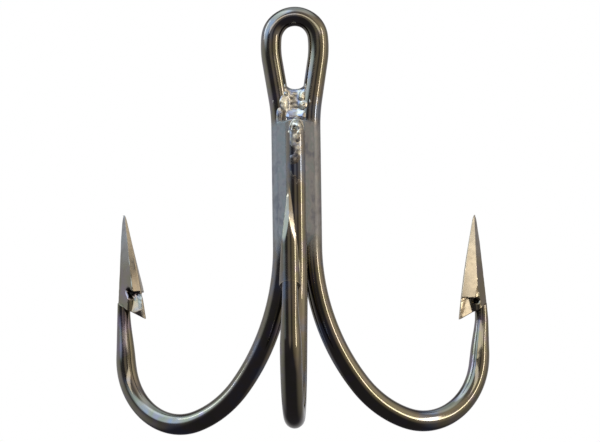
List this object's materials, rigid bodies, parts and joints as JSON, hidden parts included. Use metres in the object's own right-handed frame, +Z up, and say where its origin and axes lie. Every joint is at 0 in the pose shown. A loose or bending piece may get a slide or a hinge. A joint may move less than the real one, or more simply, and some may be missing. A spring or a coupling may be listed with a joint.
{
  "type": "treble hook",
  "caption": "Treble fishing hook with a long looped eye, brazed wire shanks and round bends that end in barbed, ground points.",
  "frame": {"origin": "centre of the eye's round top, where a split ring bears", "axes": "+Z up the shank towards the eye, +Y along the eye's hole, away from the single hook, which points along -Y"},
  "size_m": [0.0446, 0.0378, 0.0496],
  "materials": {
    "plated_wire": "glossy black nickel plate on hardened steel wire",
    "plated_braze": "satin grey plate on braze metal"
  },
  "bodies": {
    "root": {"double_hook_wire": "plated_wire", "single_hook_wire": "plated_wire", "neck_braze": "plated_braze", "spine_braze": "plated_braze", "left_fillet_braze": "plated_braze", "right_fillet_braze": "plated_braze", "shank_end_braze": "plated_braze"}
  },
  "joints": []
}
